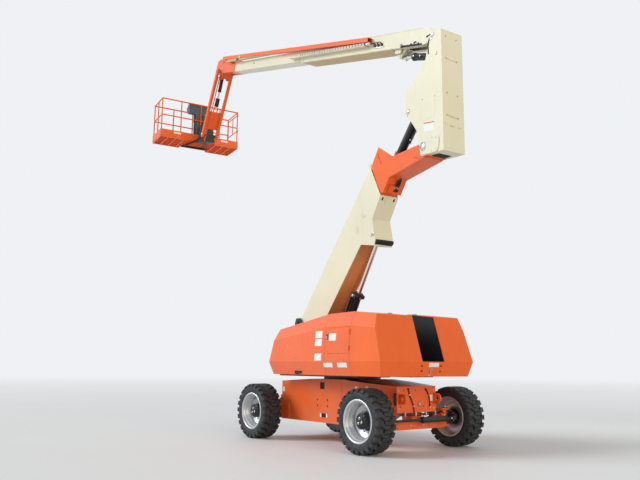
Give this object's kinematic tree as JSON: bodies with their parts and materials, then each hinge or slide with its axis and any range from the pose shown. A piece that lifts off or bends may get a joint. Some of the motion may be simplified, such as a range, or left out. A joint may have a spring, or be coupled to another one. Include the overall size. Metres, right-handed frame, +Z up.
{
  "type": "articulating boom lift",
  "caption": "Self-propelled articulating boom lift: wheeled chassis, turntable, lifting tower, upright, telescoping main boom, jib and railed work platform.",
  "frame": {"origin": "on the ground under the slewing axis", "axes": "+X towards the steered axle and the counterweight's end, +Y to the left, +Z up; booms reach towards -X at rest"},
  "size_m": [11.851, 3.3998, 9.9016],
  "materials": {
    "orange_paint": "gloss",
    "cream_paint": "satin",
    "black_paint": "satin",
    "orange_cover": "gloss",
    "weight_paint": "satin",
    "silver_paint": "satin",
    "rod_chrome": "polished",
    "tyre_rubber": "matte",
    "engine_grey": "matte",
    "track_plastic": "matte",
    "console_plastic": "matte"
  },
  "bodies": {
    "chassis": {"chassis_frame": "orange_paint", "fixed_axle": "orange_paint", "steer_axle": "orange_paint", "steer_cylinder": "black_paint", "slew_ring": "black_paint"},
    "knuckle_left": {"knuckle_left": "orange_paint"},
    "knuckle_right": {"knuckle_right": "orange_paint"},
    "tie_rod": {"tie_rod": "black_paint"},
    "turntable": {"turntable_frame": "orange_paint", "counterweight": "weight_paint", "side_covers": "orange_cover", "engine": "engine_grey", "tank": "black_paint"},
    "hood_left": {"hood_left": "orange_cover"},
    "hood_right": {"hood_right": "orange_cover"},
    "control_door": {"control_door": "orange_cover"},
    "tower": {"tower_base": "cream_paint"},
    "tower_fly": {"tower_fly": "orange_paint"},
    "tower_barrel": {"tower_barrel": "black_paint"},
    "tower_rod": {"tower_rod": "rod_chrome"},
    "upright": {"upright": "cream_paint"},
    "level_barrel": {"level_barrel": "black_paint"},
    "level_rod": {"level_rod": "rod_chrome"},
    "boom": {"boom_base": "cream_paint", "cable_tray": "cream_paint", "power_track": "track_plastic"},
    "boom_fly": {"boom_fly": "cream_paint", "boom_head": "orange_paint", "push_tube": "orange_paint"},
    "boom_barrel": {"boom_barrel": "black_paint"},
    "boom_rod": {"boom_rod": "rod_chrome"},
    "jib_knuckle": {"jib_knuckle": "black_paint"},
    "jib_arm": {"jib_arm": "orange_paint"},
    "jib_link": {"jib_link": "orange_paint"},
    "jib_barrel": {"jib_barrel": "black_paint"},
    "jib_rod": {"jib_rod": "rod_chrome"},
    "platform_support": {"platform_support": "orange_paint"},
    "platform": {"platform_mount": "black_paint", "platform_floor": "orange_paint", "platform_rails": "orange_paint", "control_console": "console_plastic"},
    "gate": {"gate": "orange_paint"},
    "wheel_front_left": {"tyre_front_left": "tyre_rubber", "rim_front_left": "silver_paint"},
    "wheel_front_right": {"tyre_front_right": "tyre_rubber", "rim_front_right": "silver_paint"},
    "wheel_rear_left": {"tyre_rear_left": "tyre_rubber", "rim_rear_left": "silver_paint"},
    "wheel_rear_right": {"tyre_rear_right": "tyre_rubber", "rim_rear_right": "silver_paint"}
  },
  "joints": [
    {"name": "steer_left", "type": "hinge", "parent": "chassis", "child": "knuckle_left", "pos_m": [1.525, 0.78, 0.5], "axis": [0, 0, 1], "range_deg": [-25, 25]},
    {"name": "steer_right", "type": "hinge", "parent": "chassis", "child": "knuckle_right", "pos_m": [1.525, -0.78, 0.5], "axis": [0, 0, 1], "range_deg": [-25, 25]},
    {"name": "tie_rod_slide", "type": "slide", "parent": "chassis", "child": "tie_rod", "axis": [0, 1, 0], "range_m": [-0.0907, 0.0907]},
    {"name": "wheel_front_left_spin", "type": "hinge", "parent": "knuckle_left", "child": "wheel_front_left", "pos_m": [1.525, 1.0275, 0.5], "axis": [0, 1, 0], "continuous": true},
    {"name": "wheel_front_right_spin", "type": "hinge", "parent": "knuckle_right", "child": "wheel_front_right", "pos_m": [1.525, -1.0275, 0.5], "axis": [0, 1, 0], "continuous": true},
    {"name": "wheel_rear_left_spin", "type": "hinge", "parent": "chassis", "child": "wheel_rear_left", "pos_m": [-1.525, 1.0275, 0.5], "axis": [0, 1, 0], "continuous": true},
    {"name": "wheel_rear_right_spin", "type": "hinge", "parent": "chassis", "child": "wheel_rear_right", "pos_m": [-1.525, -1.0275, 0.5], "axis": [0, 1, 0], "continuous": true},
    {"name": "swing", "type": "hinge", "parent": "chassis", "child": "turntable", "pos_m": [0, 0, 1.105], "axis": [0, 0, 1], "continuous": true},
    {"name": "hood_left_hinge", "type": "hinge", "parent": "turntable", "child": "hood_left", "pos_m": [-1.02416, 0.37156, 2], "axis": [0.9888, -0.0987, 0.1115], "range_deg": [0, 60]},
    {"name": "hood_right_hinge", "type": "hinge", "parent": "turntable", "child": "hood_right", "pos_m": [-1.0774, -0.16179, 2], "axis": [-0.9888, 0.0987, -0.1115], "range_deg": [0, 60]},
    {"name": "control_door_hinge", "type": "hinge", "parent": "turntable", "child": "control_door", "pos_m": [1.28214, -1.18006, 1.54056], "axis": [0.0069, 0.0695, 0.9976], "range_deg": [0, 110]},
    {"name": "tower_lift", "type": "hinge", "parent": "turntable", "child": "tower", "pos_m": [-1.59209, 0.15891, 2.2], "axis": [-0.0993, -0.9951, 0], "range_deg": [-47, 19]},
    {"name": "tower_telescope", "type": "slide", "parent": "tower", "child": "tower_fly", "axis": [0.6786, -0.0677, 0.7314], "range_m": [0, 2.2]},
    {"name": "upright_level", "type": "hinge", "parent": "tower_fly", "child": "upright", "pos_m": [2.36365, -0.23592, 4.84138], "axis": [-0.0993, -0.9951, 0], "range_deg": [-20, 48]},
    {"name": "main_lift", "type": "hinge", "parent": "upright", "child": "boom", "pos_m": [2.64326, -0.26383, 6.67938], "axis": [0.0993, 0.9951, 0], "range_deg": [-17.7, 50]},
    {"name": "boom_telescope", "type": "slide", "parent": "boom", "child": "boom_fly", "axis": [-0.948, 0.0946, 0.304], "range_m": [-1.72, 1.9]},
    {"name": "knuckle_level", "type": "hinge", "parent": "boom_fly", "child": "jib_knuckle", "pos_m": [-6.0908, 0.60794, 9.50162], "axis": [0.0993, 0.9951, 0], "range_deg": [-51, 18.7]},
    {"name": "jib_lift", "type": "hinge", "parent": "jib_knuckle", "child": "jib_arm", "pos_m": [-6.28981, 0.62781, 9.52162], "axis": [0.0993, 0.9951, 0], "range_deg": [-3, 127]},
    {"name": "jib_link_level", "type": "hinge", "parent": "jib_knuckle", "child": "jib_link", "pos_m": [-6.28981, 0.62781, 9.35162], "axis": [0.0993, 0.9951, 0], "range_deg": [-4, 128]},
    {"name": "support_level", "type": "hinge", "parent": "jib_arm", "child": "platform_support", "pos_m": [-7.24304, 0.72295, 7.92729], "axis": [0.0993, 0.9951, 0], "range_deg": [-128, 4]},
    {"name": "platform_rotate", "type": "hinge", "parent": "platform_support", "child": "platform", "pos_m": [-7.58136, 0.75672, 7.92729], "axis": [0, 0, 1], "range_deg": [-87.9, 92.1]},
    {"name": "gate_hinge", "type": "hinge", "parent": "platform", "child": "gate", "pos_m": [-7.87031, 2.00216, 8.52729], "axis": [0, 0, 1], "range_deg": [0, 80]},
    {"name": "tower_barrel_hinge", "type": "hinge", "parent": "turntable", "child": "tower_barrel", "pos_m": [-0.64977, 0.06486, 1.35], "axis": [-0.0993, -0.9951, 0], "range_deg": [-50.82, 21.14]},
    {"name": "tower_rod_slide", "type": "slide", "parent": "tower_barrel", "child": "tower_rod", "axis": [0.5538, -0.0553, 0.8308], "range_m": [-1.011, 0.415]},
    {"name": "level_barrel_hinge", "type": "hinge", "parent": "upright", "child": "level_barrel", "pos_m": [1.98951, -0.19858, 5.56039], "axis": [-0.0993, -0.9951, 0], "range_deg": [-45.65, 19.05]},
    {"name": "level_rod_slide", "type": "slide", "parent": "level_barrel", "child": "level_rod", "axis": [-0.663, 0.0662, -0.7457], "range_m": [-0.633, 0.262]},
    {"name": "boom_barrel_hinge", "type": "hinge", "parent": "upright", "child": "boom_barrel", "pos_m": [2.70695, -0.27019, 6.33139], "axis": [0.0993, 0.9951, 0], "range_deg": [-15.16, 41]},
    {"name": "boom_rod_slide", "type": "slide", "parent": "boom_barrel", "child": "boom_rod", "axis": [-0.9275, 0.0926, 0.3622], "range_m": [-0.078, 0.202]},
    {"name": "jib_barrel_hinge", "type": "hinge", "parent": "jib_knuckle", "child": "jib_barrel", "pos_m": [-6.35946, 0.63476, 9.62162], "axis": [0.0993, 0.9951, 0], "range_deg": [-4.12, 133.08]},
    {"name": "jib_rod_slide", "type": "slide", "parent": "jib_barrel", "child": "jib_rod", "axis": [-0.4486, 0.0448, -0.8926], "range_m": [-0.187, 0.014]}
  ],
  "couplings": [
    {"joint": "steer_right", "follows": "steer_left", "ratio": 1},
    {"joint": "tie_rod_slide", "follows": "steer_left", "m_per_rad": 0.2034},
    {"joint": "upright_level", "follows": "tower_lift", "ratio": -1},
    {"joint": "knuckle_level", "follows": "main_lift", "ratio": -1},
    {"joint": "support_level", "follows": "jib_lift", "ratio": -1},
    {"joint": "jib_link_level", "follows": "jib_lift", "ratio": 1},
    {"joint": "tower_barrel_hinge", "follows": "tower_lift", "ratio": 1.06},
    {"joint": "tower_rod_slide", "follows": "tower_lift", "m_per_rad": 1.22},
    {"joint": "level_barrel_hinge", "follows": "tower_lift", "ratio": 0.95},
    {"joint": "level_rod_slide", "follows": "tower_lift", "m_per_rad": 0.76},
    {"joint": "boom_barrel_hinge", "follows": "main_lift", "ratio": 0.8},
    {"joint": "boom_rod_slide", "follows": "main_lift", "m_per_rad": 0.22},
    {"joint": "jib_barrel_hinge", "follows": "jib_lift", "ratio": 1.04},
    {"joint": "jib_rod_slide", "follows": "jib_lift", "m_per_rad": -0.08}
  ]
}
